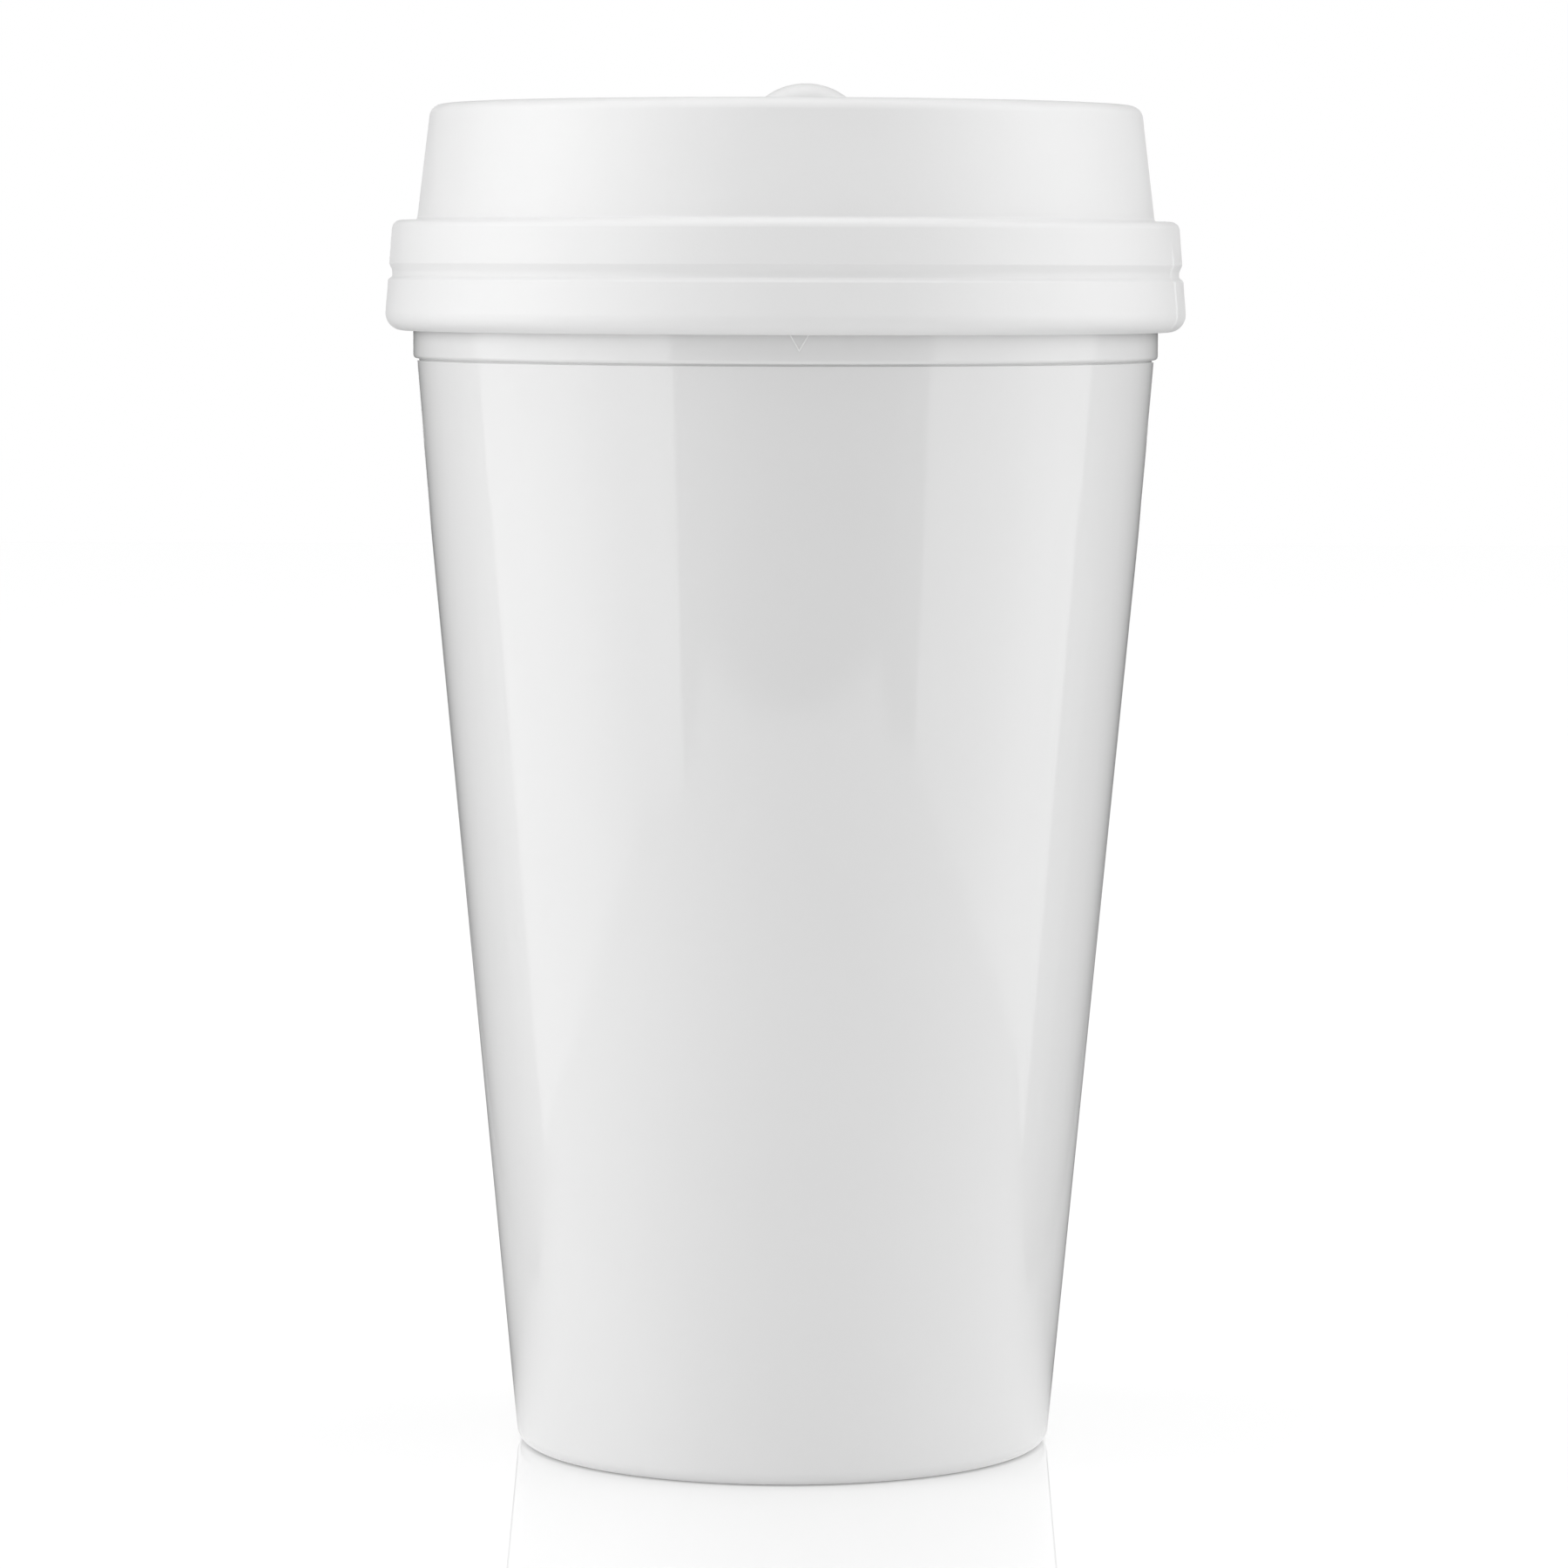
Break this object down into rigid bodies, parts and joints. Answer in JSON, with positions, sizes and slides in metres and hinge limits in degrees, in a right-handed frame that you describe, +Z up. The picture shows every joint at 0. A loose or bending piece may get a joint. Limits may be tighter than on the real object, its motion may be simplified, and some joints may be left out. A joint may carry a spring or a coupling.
{
  "type": "travel tumbler",
  "caption": "Double-wall plastic travel tumbler: tapered glossy shell, inner liner with a collar, and a press-on satin lid with a round lip and a sliding drink closure.",
  "frame": {"origin": "centre of the foot, on the surface the cup stands on", "axes": "+Z up along the cup's axis; -Y towards the drinking side, where the mark on the collar is"},
  "size_m": [0.092, 0.092, 0.1565],
  "materials": {
    "shell_gloss": "high-gloss white moulded plastic",
    "liner_gloss": "high-gloss white moulded plastic",
    "seal_soft": "milky soft seal, smooth",
    "lid_satin": "fine satin white moulded plastic",
    "slider_satin": "fine satin white moulded plastic"
  },
  "bodies": {
    "cup": {"outer_shell": "shell_gloss", "inner_liner": "liner_gloss"},
    "seal": {"lid_seal": "seal_soft"},
    "lid": {"lid_body": "lid_satin"},
    "slider": {"closure_slider": "slider_satin"}
  },
  "joints": [
    {"name": "lid_lift", "type": "slide", "parent": "cup", "child": "seal", "axis": [0, 0, 1], "range_m": [0, 0.06]},
    {"name": "lid_turn", "type": "hinge", "parent": "seal", "child": "lid", "pos_m": [0, 0, 0.135], "axis": [0, 0, 1], "continuous": true},
    {"name": "closure_slide", "type": "slide", "parent": "lid", "child": "slider", "axis": [0.0924, -0.9957, 0], "range_m": [0, 0.0092]}
  ]
}
